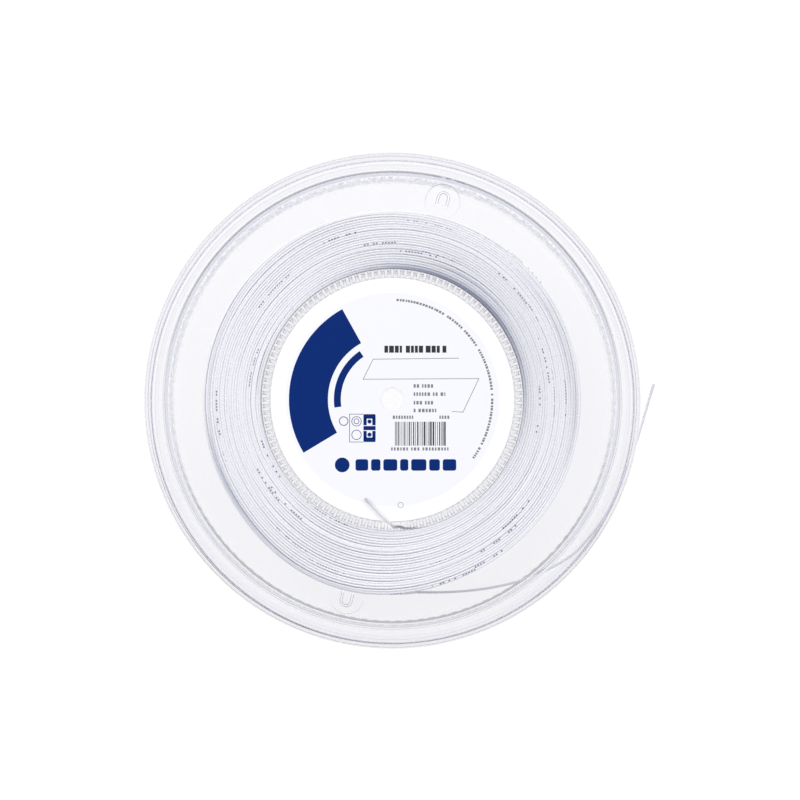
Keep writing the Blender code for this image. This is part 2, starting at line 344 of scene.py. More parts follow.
def smooth_route(points, spacing):
    """Points evenly spaced along a smooth curve through the route (Catmull-Rom, chord-length knots)."""
    route = [Vector(p) * MM for p in points]
    route = [2 * route[0] - route[1]] + route + [2 * route[-1] - route[-2]]
    fine = []
    for a, b, c, d in zip(route, route[1:], route[2:], route[3:]):
        knots = [0.0]
        for p, q in ((a, b), (b, c), (c, d)):
            knots.append(knots[-1] + (q - p).length ** 0.5)
        for step in range(16):
            t = knots[1] + (knots[2] - knots[1]) * step / 16
            ab = a.lerp(b, (t - knots[0]) / (knots[1] - knots[0]))
            bc = b.lerp(c, (t - knots[1]) / (knots[2] - knots[1]))
            cd = c.lerp(d, (t - knots[2]) / (knots[3] - knots[2]))
            abc = ab.lerp(bc, (t - knots[0]) / (knots[2] - knots[0]))
            bcd = bc.lerp(cd, (t - knots[1]) / (knots[3] - knots[1]))
            fine.append(abc.lerp(bcd, (t - knots[1]) / (knots[2] - knots[1])))
    fine.append(route[-2])
    lengths = running_lengths(fine)
    count = max(4, round(lengths[-1] / spacing))
    spaced = []
    at = 0
    for i in range(count + 1):
        wanted = lengths[-1] * i / count
        while at < len(fine) - 2 and lengths[at + 1] < wanted:
            at += 1
        share = (wanted - lengths[at]) / (lengths[at + 1] - lengths[at])
        spaced.append(fine[at].lerp(fine[at + 1], share))
    return spaced


def tube_grid(points, radii, sides):
    """Rings round a path, turned as little as they can be from one to the next."""
    grid = []
    side = Vector((0.0, 0.0, 1.0))
    for i, point in enumerate(points):
        along = points[min(i + 1, len(points) - 1)] - points[max(i - 1, 0)]
        along.normalize()
        side = (side - along * side.dot(along)).normalized()
        other = side.cross(along)
        ring = []
        for j in range(sides):
            angle = 2 * math.pi * j / sides
            ring.append(point + radii[i] * (math.cos(angle) * side + math.sin(angle) * other))
        grid.append(ring)
    return np.array(grid)


# Materials


def node_adder(owner):
    """Empties a material's or world's node tree. The function it returns adds a node there and fills its
    inputs: another node's socket is linked, and any other value is set."""
    owner.use_nodes = True
    tree = owner.node_tree
    tree.nodes.clear()

    def add(kind, values=None, **settings):
        node = tree.nodes.new(kind)
        for key, value in settings.items():
            setattr(node, key, value)
        for key, value in (values or {}).items():
            if isinstance(value, bpy.types.NodeSocket):
                tree.links.new(value, node.inputs[key])
            else:
                node.inputs[key].default_value = value
        return node

    return add


def node_material(name):
    material = bpy.data.materials.new(name)
    return material, node_adder(material)


def finished(material, add, shader):
    add("ShaderNodeOutputMaterial", {"Surface": shader.outputs[0]})
    return material


def maths(add, operation, *values):
    return add("ShaderNodeMath", dict(enumerate(values)), operation=operation).outputs[0]


def mix_colours(add, factor, a, b):
    """Mixes two colours, each of them a socket, or its red, green and blue."""
    a, b = (c if isinstance(c, bpy.types.NodeSocket) else (*c, 1.0) for c in (a, b))
    return add("ShaderNodeMix", {"Factor": factor, "A": a, "B": b}, data_type="RGBA").outputs["Result"]


def map_range(add, value, low, high, start=0.0, stop=1.0):
    """Runs from low to high while the value runs from start to stop."""
    values = {"Value": value, "From Min": start, "From Max": stop, "To Min": low, "To Max": high}
    return add("ShaderNodeMapRange", values).outputs["Result"]


def noise(add, place, scale, detail, roughness=0.5):
    values = {"Vector": place, "Scale": scale, "Detail": detail, "Roughness": roughness}
    return add("ShaderNodeTexNoise", values).outputs["Fac"]


def fill_ramp(ramp, stops):
    """Sets a new colour ramp's stops, (position, colour) from left to right."""
    for i, (position, colour) in enumerate(stops):
        stop = ramp.elements[0] if i == 0 else ramp.elements.new(position)
        stop.position = position
        stop.color = (*colour, 1.0)
    ramp.elements.remove(ramp.elements[-1])


def axis_distance(add, place):
    """How far each point of the surface is from the reel's axis."""
    flat = add("ShaderNodeVectorMath", {0: place, 1: (1.0, 1.0, 0.0)}, operation="MULTIPLY").outputs[0]
    return add("ShaderNodeVectorMath", {0: flat}, operation="LENGTH").outputs["Value"]


def clear_plastic():
    """Clear moulded polystyrene: near-smooth, with faint flow waves and hairline scuffs. Its colour carries
    painted shade
    by radius: a grey step and lines beside it, a pale lilac band inside the rim and a darker lip. This is
    strongest on the front half towards +Y, the side opposite the gate, and weaker on the back half. The
    back's step also has painted reflections as short darker dashes."""
    material, add = node_material("clear_polystyrene")
    place = add("ShaderNodeTexCoord").outputs["Object"]
    radius = axis_distance(add, place)
    parts = add("ShaderNodeSeparateXYZ", {"Vector": place})
    start, end = 109.0 * MM, 122.0 * MM
    rim = RIM_RADIUS - LIP_ROUND
    # Painted shade by radius, for the dark lines and bands that the step and the rim draw
    radial_painted_shade = add("ShaderNodeValToRGB", {"Fac": map_range(add, radius, 0.0, 1.0, start, end)})
    stops = (
        (STEP_FOOT_RADIUS - 0.2 * MM, PLASTIC_TINT),
        (STEP_TOP_RADIUS - 0.3 * MM, STEP_PAINTED_SHADE),
        (STEP_TOP_RADIUS + 0.3 * MM, STEP_PAINTED_SHADE),
        (STEP_TOP_RADIUS + 0.4 * MM, STEP_EDGE_PAINTED_SHADE),
        (STEP_TOP_RADIUS + 0.95 * MM, STEP_EDGE_PAINTED_SHADE),
        (STEP_TOP_RADIUS + 1.1 * MM, PLASTIC_TINT),
        (rim - 2.3 * MM, PLASTIC_TINT),
        (rim - 2.1 * MM, BAND_PAINTED_SHADE),
        (rim - 0.3 * MM, BAND_PAINTED_SHADE),
        (rim - 0.15 * MM, BAND_LINE_PAINTED_SHADE),
        (rim + 0.05 * MM, BAND_LINE_PAINTED_SHADE),
        (rim + 0.2 * MM, RIM_PAINTED_SHADE),
        (RIM_RADIUS - 0.4 * MM, RIM_PAINTED_SHADE),
        (RIM_RADIUS - 0.03 * MM, RIM_EDGE_PAINTED_SHADE),
    )
    fill_ramp(radial_painted_shade.color_ramp, [((at - start) / (end - start), colour) for at, colour in stops])
    # The painted shade is strongest on the front half towards +Y, half as strong towards -Y, and at 0.4 on
    # the back half
    front = maths(add, "GREATER_THAN", parts.outputs["Z"], HEIGHT / 2)
    painted_light_by_side = map_range(add, parts.outputs["Y"], 0.5, 1.0, -RIM_RADIUS, RIM_RADIUS)
    strength = add("ShaderNodeMix", {"Factor": front, "A": 0.4, "B": painted_light_by_side}).outputs["Result"]
    ringed_painted_shade = mix_colours(add, strength, PLASTIC_TINT, radial_painted_shade.outputs["Color"])

    # Painted reflection: darker short dashes in a band on the back half's step, stronger towards +Y
    dashes = map_range(add, noise(add, place, 480.0, 1.0), 0.0, 1.0, 0.44, 0.56)
    in_band = maths(add, "COMPARE", radius, STEP_FOOT_RADIUS + DASH_REFLECTION_BAND / 2, DASH_REFLECTION_BAND / 2)
    on_back = maths(add, "GREATER_THAN", in_band, front)
    painted_dash_strength = maths(add, "MULTIPLY", maths(add, "MULTIPLY", dashes, on_back), painted_light_by_side)
    flow = noise(add, place, 55.0, 2.0, 0.4)
    scuffs = noise(add, place, 420.0, 3.0, 0.6)
    bump = add("ShaderNodeBump", {"Height": flow, "Strength": 0.25, "Distance": 0.12 * MM})
    glass = add(
        "ShaderNodeBsdfPrincipled",
        {
            "Base Color": mix_colours(add, painted_dash_strength, ringed_painted_shade, DASH_PAINTED_REFLECTION),
            "Roughness": map_range(add, scuffs, 0.012, 0.05, 0.35, 0.75),
            "IOR": 1.59,
            "Transmission Weight": 1.0,
            "Normal": bump.outputs["Normal"],
        },
    )
    open_air = add("ShaderNodeBsdfTransparent", {"Color": (0.988, 0.989, 0.993, 1.0)})
    # Light that falls through onto other things, or that has wandered long in the walls, passes straight on
    path = add("ShaderNodeLightPath").outputs
    soft_ray = maths(add, "MAXIMUM", path["Is Shadow Ray"], path["Is Diffuse Ray"])
    passes = maths(add, "MAXIMUM", soft_ray, maths(add, "GREATER_THAN", path["Ray Depth"], 4.5))
    mix = add("ShaderNodeMixShader", {0: passes, 1: glass.outputs[0], 2: open_air.outputs[0]})
    return finished(material, add, mix)


def edge_plastic():
    """The same plastic where a mould's edge left it finely frosted, round the clips and the flutes' tops. Its
    dark blue-grey colour is painted shade, which draws these edges as dark lines.
    """
    material, add = node_material("frosted_edge_painted_shade")
    place = add("ShaderNodeTexCoord").outputs["Object"]
    grain = noise(add, place, 900.0, 2.0)
    # Painted shade: a dark blue-grey, so that the edges show as dark lines
    glass = add(
        "ShaderNodeBsdfPrincipled",
        {
            "Base Color": mix_colours(add, grain, (0.15, 0.16, 0.21), (0.32, 0.33, 0.39)),
            "Roughness": map_range(add, grain, 0.18, 0.4),
            "IOR": 1.59,
            "Transmission Weight": 1.0,
        },
    )
    return finished(material, add, glass)


def string_polyester():
    """Pearly white polyester string. An attribute on the mesh darkens it with painted shade and a few darker
    streaks, and short printed dashes repeat along it."""
    material, add = node_material("white_polyester")
    place = add("ShaderNodeUVMap", uv_map="along").outputs["UV"]
    along, round_it = add("ShaderNodeSeparateXYZ", {"Vector": place}).outputs[:2]

    def drawn(count):
        """A random value for each whole number that the count passes."""
        values = {"W": maths(add, "FLOOR", count)}
        return add("ShaderNodeTexWhiteNoise", values, noise_dimensions="1D").outputs["Value"]

    def noise_along(scale, detail):
        values = {"W": along, "Scale": scale, "Detail": detail}
        return add("ShaderNodeTexNoise", values, noise_dimensions="1D").outputs["Fac"]

    # Dashes: a group every 187 mm, on a side of the string that changes from group to group
    group_period, group_length, cell_length = 187.0 * MM, 23.0 * MM, 1.5 * MM
    repeat = maths(add, "MULTIPLY", along, 1.0 / group_period)
    in_group = maths(add, "LESS_THAN", maths(add, "FRACT", repeat), group_length / group_period)
    cell = maths(add, "MULTIPLY", along, 1.0 / cell_length)
    cell_on = maths(add, "GREATER_THAN", drawn(cell), 0.42)
    in_cell = maths(add, "LESS_THAN", maths(add, "FRACT", cell), 0.62)
    side = maths(add, "FRACT", maths(add, "SUBTRACT", round_it, drawn(repeat)))
    dash = maths(add, "LESS_THAN", side, 0.2)
    for limit in (in_group, cell_on, in_cell):
        dash = maths(add, "MULTIPLY", dash, limit)

    # Slow colour variation along the string, and the painted shade that the mesh's attribute mixes in
    tone = add("ShaderNodeAttribute", attribute_name="tone").outputs["Fac"]
    pearl = mix_colours(add, noise_along(2.2, 2.0), (0.865, 0.868, 0.905), (0.92, 0.922, 0.95))
    # Painted shade: the dark blue-grey that the attribute mixes in
    pearl_with_painted_shade = mix_colours(add, tone, pearl, (0.16, 0.19, 0.30))
    shader = add(
        "ShaderNodeBsdfPrincipled",
        {
            "Base Color": mix_colours(add, dash, pearl_with_painted_shade, (0.15, 0.16, 0.27)),
            "Roughness": map_range(add, noise_along(900.0, 1.0), 0.2, 0.34),
            "IOR": 1.57,
            "Specular IOR Level": 0.5,
            "Coat Weight": 0.2,
            "Coat Roughness": 0.12,
        },
    )
    return finished(material, add, shader)


def label_paper():
    """White label film with a very pale printed disc and a fine paper grain."""
    material, add = node_material("label_film")
    place = add("ShaderNodeTexCoord").outputs["Object"]
    inside = map_range(add, axis_distance(add, place), 1.0, 0.0, 52.1 * MM, 52.4 * MM)
    grain = noise(add, place, 2600.0, 2.0)
    bump = add("ShaderNodeBump", {"Height": grain, "Strength": 0.15, "Distance": 0.03 * MM})
    shader = add(
        "ShaderNodeBsdfPrincipled",
        {
            "Base Color": mix_colours(add, inside, (0.935, 0.934, 0.948), (0.868, 0.873, 0.912)),
            "Roughness": map_range(add, grain, 0.36, 0.5),
            "Normal": bump.outputs["Normal"],
        },
    )
    return finished(material, add, shader)


def ink(name, colour):
    """Printing ink: one colour with the slight mottle of offset print."""
    material, add = node_material(name)
    place = add("ShaderNodeTexCoord").outputs["Object"]
    mottle = noise(add, place, 700.0, 3.0)
    lighter = tuple(min(1.0, c * 1.12 + 0.002) for c in colour)
    shader = add(
        "ShaderNodeBsdfPrincipled",
        {
            "Base Color": mix_colours(add, mottle, colour, lighter),
            "Roughness": map_range(add, mottle, 0.3, 0.42),
            "Specular IOR Level": 0.08,
        },
    )
    return finished(material, add, shader)


# Camera and cords


def make_camera():
    """Looks almost straight down at the reel, from the side that the label's foot is on."""
    width = 390.4 * MM  # of the view at the height of the front face
    distance = 1.15
    elevation = math.radians(88.1)
    aim = Vector((3.73 * MM, -0.34 * MM, HEIGHT))
    data = bpy.data.cameras.new("camera")
    data.sensor_width = 36.0
    data.lens = data.sensor_width * distance / width
    data.clip_start = 0.01
    camera = bpy.data.objects.new("camera", data)
    camera.location = aim + distance * Vector((0.0, -math.cos(elevation), math.sin(elevation)))
    camera.rotation_euler = (aim - camera.location).to_track_quat("-Z", "Y").to_euler()
    bpy.context.scene.collection.objects.link(camera)
    bpy.context.scene.camera = camera


def set_tone_and_painted_shade(mesh, tones):
    attribute = mesh.attributes.new("tone", "FLOAT", "POINT")
    attribute.data.foreach_set("value", np.asarray(tones, dtype=np.float32))


def make_cord(name, node, route, material, tone, tip_painted_shade):
    """A free stretch of string as a tube with clean-cut, lightly broken ends. Painted shade makes it greyer
    than in the winding, most of all at its cut tip."""
    points = smooth_route(route, STRING_RADIUS)
    radii = [STRING_RADIUS] * len(points)
    radii[0] = radii[-1] = 0.8 * STRING_RADIUS
    grid = tube_grid(points, radii, 14)
    lengths = running_lengths(points)
    mesh = grid_mesh(name, grid, lengths=[PAST_DASHES + x for x in lengths])
    share = np.linspace(0.0, 1.0, len(points))
    # Painted shade, growing towards the tip
    set_tone_and_painted_shade(mesh, np.repeat(tone + (tip_painted_shade - tone) * share**6, grid.shape[1]))
    cord = link(name, shade(mesh, 60.0), material)
    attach(cord, "reel")
    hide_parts(node)


# The moulded halves


def rim_outline(rib=0.0):
    """A half from the spindle hole along its outer face, round the lip, to the web's inner face. The step
    stands rib further in."""
    slope = (STEP_TOP_RADIUS - STEP_FOOT_RADIUS) / STEP_HEIGHT
    inner_shift = WALL * math.sqrt(1.0 + slope * slope)
    step_inner_top = STEP_FOOT_RADIUS - slope * WALL + inner_shift
    step_inner_foot = STEP_TOP_RADIUS - slope * WALL + inner_shift
    points = [
        (SPINDLE_RADIUS, WEB_OUTER, FINE_FILLET),
        (STEP_FOOT_RADIUS - rib, WEB_OUTER, FILLET),
        (STEP_TOP_RADIUS - rib, 0.0, FILLET),
        (RIM_RADIUS - LIP_ROUND - FILLET, 0.0, 0.0),
    ]
    for degrees in range(0, 91, 10):
        angle = math.radians(degrees)
        r = RIM_RADIUS - LIP_ROUND + LIP_ROUND * math.sin(angle)
        points.append((r, LIP_ROUND - LIP_ROUND * math.cos(angle), 0.0))
    points += [
        (RIM_RADIUS, LIP_HEIGHT, FINE_FILLET),
        (RIM_RADIUS - LIP_WALL, LIP_HEIGHT, FINE_FILLET),
        (RIM_RADIUS - LIP_WALL, WALL, FILLET),
        (step_inner_foot, WALL, FILLET),
        (step_inner_top, WEB_INNER, FILLET),
    ]
    return points


def tongue_outline(grow, root):
    """The tongue's outline in its own frame: +X points at the rim, with the root at x = root."""
    half = TONGUE_WIDTH / 2 + grow
    centre = TONGUE_LENGTH - TONGUE_WIDTH / 2
    arc = [math.radians(-90 + 7.5 * i) for i in range(25)]
    outline = [(root, half), (root, -half)]
    outline += [(centre + half * math.cos(a), half * math.sin(a)) for a in arc]
    return outline


def window_rings(face_height, outward):
    """The clip's window through the web, with the edges on both faces broken."""
    back = face_height - outward * WALL
    rings = []
    for height, grow in (
        (back - outward * MM, EDGE),
        (back, EDGE),
        (back + outward * 0.3 * EDGE, 0.35 * EDGE),
        (back + outward * EDGE, 0.0),
        (face_height - outward * EDGE, 0.0),
        (face_height - outward * 0.3 * EDGE, 0.35 * EDGE),
        (face_height, EDGE),
        (face_height + outward * 3 * MM, EDGE),
    ):
        rings.append(raised(tongue_outline(TONGUE_SLOT + grow, 0.0), height))
    return rings


def recess_rings(face_height, outward):
    """The round recess, with a sloping wall. Its floor runs down to the rim from the web's face."""
    rings = [[], [], []]
    for i in range(128):
        angle = 2 * math.pi * i / 128
        c, s = math.cos(angle), math.sin(angle)
        floor_radius = RECESS_RADIUS - 0.02 * MM - RECESS_SLOPE * (1 + c) / 2
        depth = RECESS_DEPTH * (1 + floor_radius * c / RECESS_RADIUS) / 2 - 0.04 * MM
        for ring, r, rise in zip(
            rings,
            (floor_radius, RECESS_RADIUS, RECESS_RADIUS + 0.05 * MM),
            (-depth, max(0.0, -depth) + 0.02 * MM, MM),
        ):
            ring.append((r * c, r * s, face_height + outward * rise))
    return rings


def relief_rings(face_height, outward, x, y):
    """The round hole at the end of one of the slot's legs, with its edge broken."""
    rings = []
    for rise, radius in (
        (-WALL - MM, RELIEF_RADIUS),
        (-EDGE, RELIEF_RADIUS),
        (0.0, RELIEF_RADIUS + EDGE),
        (MM, RELIEF_RADIUS + EDGE),
    ):
        rings.append(raised(round_outline(x, y, radius, 32), face_height + outward * rise))
    return rings


def clear_root(mesh):
    """Keeps the frosted edges, with their painted shade, off the tongue's root, where the real tongue is
    joined.
    """
    for face in mesh.polygons:
        if face.center.x < GAP + 1.5 * EDGE:
            face.material_index = 0


def clip_cutters(side, face_height, outward, *materials):
    """Cutters of one clip: its window, the relief holes at the slot's ends, and the round recess."""
    leg = (TONGUE_WIDTH + TONGUE_SLOT) / 2
    cutters = []
    for name, radius, rings in (
        ("window", TONGUE_ROOT_RADIUS, window_rings(face_height, outward)),
        ("right_relief", TONGUE_ROOT_RADIUS, relief_rings(face_height, outward, -0.1 * MM, -leg)),
        ("left_relief", TONGUE_ROOT_RADIUS, relief_rings(face_height, outward, -0.1 * MM, leg)),
        ("recess", CLIP_RADIUS, recess_rings(face_height, outward)),
    ):
        cutter = lofted(name, [rings], *materials, side_material=1)
        put_at(cutter, radius, CLIP_ANGLES[side])
        cutters.append(cutter)
    clear_root(cutters[0].data)
    return cutters


def box_cutter(name, material, size, radius, height, degrees):
    """A box, by the place of its centre."""
    bm = bmesh.new()
    bmesh.ops.create_cube(bm, size=1.0)
    bmesh.ops.scale(bm, verts=bm.verts, vec=size)
    cutter = from_bmesh(name, bm, material)
    put_at(cutter, radius, degrees, height)
    return cutter


def frost_and_shade_tooth_edges(mesh, profiles, top):
    """Gives the flutes' top edges the mesh's second material, the frosted plastic with its painted shade: the
    rounds along them, and the slivers of the top face beside the grooves' side walls."""
    radius, height = np.moveaxis(np.array(profiles), -1, 0)
    next_radius = np.roll(radius, -1, axis=1)
    near_top = height > top - 1.1 * TOOTH_FILLET
    on_top = near_top & np.roll(near_top, -1, axis=1)
    flat = on_top & (radius - next_radius > TOOTH_FILLET)
    rounds = on_top & ~flat & (radius < FLUTE_ROOT_RADIUS + 1.1 * TOOTH_FILLET)
    by_wall = np.arange(len(radius)) % 2 == 0
    frosted = rounds | (flat & by_wall[:, None])
    mesh.polygons.foreach_set("material_index", frosted.astype(np.int32).reshape(-1))


def make_lower_half(plastic, edge):
    """The back half, with the sleeve's square flutes turned station by station."""
    top = UPPER_WEB_INNER - GAP
    floor = WEB_INNER + FLUTE_FLOOR
    outlines, degrees = [], []
    pitch = 360.0 / FLUTE_COUNT
    ramp = 0.05  # of a pitch, for each half of a groove's side wall
    for i in range(FLUTE_COUNT):
        for place, inner, rib in (
            (-0.25 - ramp, FLUTE_TIP_RADIUS, 0.0),
            (-0.25 + ramp, FLUTE_ROOT_RADIUS, STEP_RIB),
            (0.25 - ramp, FLUTE_ROOT_RADIUS, STEP_RIB),
            (0.25 + ramp, FLUTE_TIP_RADIUS, 0.0),
        ):
            outline = rim_outline(rib) + [
                (SLEEVE_RADIUS, WEB_INNER, FILLET),
                (SLEEVE_RADIUS, top, FINE_FILLET),
                (inner, top, TOOTH_FILLET),
                (inner, floor + FLUTE_FLOOR, 0.0),
                (FLUTE_TIP_RADIUS, floor, 0.0),
                (FLUTE_TIP_RADIUS, WEB_INNER, 0.0),
                (SPINDLE_RADIUS, WEB_INNER, FINE_FILLET),
            ]
            outlines.append(filleted(outline))
            degrees.append(pitch * (i + place))
    half = link("lower_half", turned_mesh("lower_half", outlines, degrees), plastic)
    half.data.materials.append(edge)
    frost_and_shade_tooth_edges(half.data, outlines, top)
    inner = FLUTE_TIP_RADIUS - 0.5 * MM
    low = PASSAGE_HEIGHT - 2.0 * MM
    high = UPPER_WEB_INNER + 1.0 * MM
    notch_size = (FLUTE_ROOT_RADIUS - inner, NOTCH_WIDTH, high - low)
    notch_radius = (FLUTE_ROOT_RADIUS + inner) / 2
    passage_size = (4.0 * MM, PASSAGE_WIDTH, PASSAGE_WIDTH)
    cutters = clip_cutters("lower", WEB_OUTER, -1, plastic, edge)
    cutters.append(box_cutter("notch", plastic, notch_size, notch_radius, (low + high) / 2, NOTCH_ANGLE))
    cutters.append(box_cutter("passage", plastic, passage_size, SLEEVE_RADIUS, PASSAGE_HEIGHT, PASSAGE_ANGLE))
    cut(half, cutters)
    keep_flats(half)
    return half


def make_upper_half(plastic, edge):
    """The front half, with the spigot that sits in the sleeve."""
    outer = FLUTE_TIP_RADIUS - GAP
    end = WEB_INNER + SPIGOT_LENGTH
    outline = rim_outline() + [
        (outer, WEB_INNER, FILLET),
        (outer, end, FINE_FILLET),
        (outer - SPIGOT_WALL, end, FINE_FILLET),
        (outer - SPIGOT_WALL, WEB_INNER, FILLET),
        (SPINDLE_RADIUS, WEB_INNER, FINE_FILLET),
    ]
    profile = [(r, HEIGHT - z) for r, z in reversed(filleted(outline))]
    half = link("upper_half", turned_mesh("upper_half", [profile] * (3 * FLUTE_COUNT)), plastic)
    gate_size = (GATE_DEPTH, GATE_WIDTH, 6.0 * MM)
    gate_radius = FLUTE_TIP_RADIUS + GATE_DEPTH / 2
    cutters = clip_cutters("upper", UPPER_WEB_OUTER, 1, plastic, edge)
    cutters.append(box_cutter("gate", plastic, gate_size, gate_radius, UPPER_WEB_OUTER, GATE_ANGLE))
    cut(half, cutters)
    keep_flats(half)
    return half


def make_tongue(side, face_height, outward, *materials):
    """A clip tongue with broken edges, where the part's tongue lies."""
    faces = sorted((face_height, face_height - outward * TONGUE_THICKNESS))
    outline = tongue_outline(0.0, GAP)
    tongue = lofted(side + "_tongue", [[raised(outline, face) for face in faces]], *materials)
    put_at(tongue, TONGUE_ROOT_RADIUS, CLIP_ANGLES[side])
    bevel = tongue.modifiers.new("edges", "BEVEL")
    bevel.width = EDGE
    bevel.segments = 3
    bevel.limit_method = "ANGLE"
    # The bevelled edges take the frosted plastic with its painted shade
    bevel.material = 1
    baked(tongue)
    clear_root(tongue.data)
    shade(tongue.data, SHARP)
    keep_flats(tongue)
    return tongue


# The winding


def waves(turns, seed, slowest, fastest, count=6, apart=0):
    """A smooth wandering line from about -1 to 1 along the string, as a sum of waves. Their paces, in waves
    per turn, are drawn from slowest to fastest, on top of apart, 2 * apart and so on."""
    draw = random.Random(seed)
    total = np.zeros_like(turns)
    for i in range(count):
        pace = apart * (i + 1) + draw.uniform(slowest, fastest)
        total += np.sin(2 * math.pi * (pace * turns + draw.random()))
    return total / math.sqrt(2.0 * count)


def near_waves(turns, seed, drift):
    """Waves that are nearly the same from one turn to the next, so that neighbouring turns run alike."""
    return waves(turns, seed, -drift, drift, count=5, apart=1)


def smooth_step(values, start, stop):
    t = np.clip((values - start) / (stop - start), 0.0, 1.0)
    return t * t * (3.0 - 2.0 * t)


def angle_window(degrees, centre, half_width):
    """1 at the centre angle, falling smoothly to 0 at half_width to either side."""
    offset = (degrees - centre + 180.0) % 360.0 - 180.0
    return np.where(np.abs(offset) < half_width, np.cos(np.radians(90.0 * offset / half_width)) ** 2, 0.0)


def hump(values, centre, width):
    """1 at the centre value, falling off as a bell curve."""
    return np.exp(-(((values - centre) / width) ** 2))


def winding_path():
    """The string's own line, turn by turn: its angle, radius and height."""
    start = INNER_END_ROUTE[0]
    end = TAIL_ROUTE[0]
    first = math.degrees(math.atan2(start[1], start[0])) % 360.0
    last = math.degrees(math.atan2(end[1], end[0])) % 360.0
    whole = TURNS + (last - first) / 360.0
    turns = np.linspace(0.0, whole, round(whole * POINTS_PER_TURN) + 1)
    degrees = first + 360.0 * turns

    low = WINDING_LOW + STRING_RADIUS
    high = WINDING_HIGH - STRING_RADIUS
    begin = (start[2] * MM - low) / (high - low)
    begin = (FLANGE_TURNS + begin * (TURNS_PER_LAYER - 2.0 * FLANGE_TURNS)) / TURNS_PER_LAYER
    sweep = begin + turns / TURNS_PER_LAYER
    layer = np.floor(sweep)
    share = sweep - layer
    rising = layer % 2 == 0
    rest = FLANGE_TURNS / TURNS_PER_LAYER
    climb = np.clip((share - rest) / (1.0 - 2.0 * rest), 0.0, 1.0)
    height = low + (high - low) * np.where(rising, climb, 1.0 - climb)
    layers = round(begin + whole / TURNS_PER_LAYER)
    inmost = SLEEVE_RADIUS + GAP + STRING_RADIUS
    outmost = WINDING_RADIUS - STRING_RADIUS
    spacing = (outmost - inmost) / (layers - 1)
    radius = inmost + spacing * np.minimum(layer, layers - 1)
    radius += spacing * (smooth_step(share, 0.99, 1.01) + smooth_step(share, -0.01, 0.01) - 1.0)

    # Turns near the flanges and in the last layers lie less true
    to_flange = np.minimum(height - low, high - height)
    loose = np.exp(-to_flange / (1.6 * MM))
    depth = np.clip(layer / (layers - 1), 0.0, 1.0)
    slack = depth**4
    radius += (0.4 * loose + 0.3 * slack) * MM * near_waves(turns, 8, 0.0016)
    radius += (0.04 + 0.05 * loose) * MM * waves(turns, 3, 0.3, 2.0)
    radius += 0.03 * loose * MM * waves(turns, 5, 3.0, 7.0)
    height -= (0.06 + 0.12 * loose) * MM * np.abs(waves(turns, 4, 0.5, 2.6))
    bulge = angle_window(degrees, BULGE_ANGLE, BULGE_HALF_WIDTH)
    radius += BULGE * depth * bulge
    radius += 0.14 * depth * bulge * MM * waves(turns, 9, 0.03, 0.16)
    radius = np.clip(radius, inmost, outmost + BULGE * bulge)
    height = np.clip(height, low, high)

    # The two ends run into the free stretches
    at_start = 1.0 - smooth_step(turns, 0.0, 0.025)
    radius += at_start * (math.hypot(start[0], start[1]) * MM - radius)
    height += at_start * (start[2] * MM - height)
    at_end = smooth_step(turns, whole - 0.22, whole)
    radius += at_end * (math.hypot(end[0], end[1]) * MM - radius)
    height += at_end * (end[2] * MM - height)
    return turns, degrees, radius, height


def winding_tone_and_painted_shade(turns, degrees, radius):
    """How dark the string looks by painted shade: beside the hub, along the pack's outer edge, and a little
    inside it to the left and right; and in a few darker streaks."""
    from_hub = (radius - SLEEVE_RADIUS) / MM
    outline = WINDING_RADIUS + BULGE * angle_window(degrees, BULGE_ANGLE, BULGE_HALF_WIDTH)
    from_edge = (outline - radius) / MM
    # Painted shade beside the hub, strongest in a crescent towards +X and +Y, and along and inside the pack's
    # outer edge
    crescent = 0.7 * hump(from_hub, 0.0, 2.2) * angle_window(degrees, 56.0, 75.0)
    hub_shade = 0.4 * np.exp(-from_hub / 8.0) * angle_window(degrees, 42.0, 110.0)
    all_round = 0.16 * hump(from_hub, 0.0, 1.6)
    outer = 0.38 * hump(from_edge, 0.0, 2.4) * angle_window(degrees, 235.0, 70.0)
    right = 0.32 * hump(from_edge, 5.5, 3.0) * angle_window(degrees, 6.0, 50.0)
    left = 0.3 * hump(from_edge, 3.2, 2.2) * angle_window(degrees, 180.0, 60.0)
    line = 0.5 * hump(from_edge, 2.2, 0.8) * angle_window(degrees, 212.0, 34.0)
    broken = np.clip(0.7 + 0.8 * waves(turns, 13, 0.8, 3.0), 0.0, 1.5)
    sides = broken * (right + left) + line
    streaks = 0.6 * np.clip(waves(turns, 12, 1.0, 4.0) - 0.9, 0.0, 0.5)
    return np.clip(crescent + hub_shade + all_round + outer + sides + streaks, 0.0, 0.95)


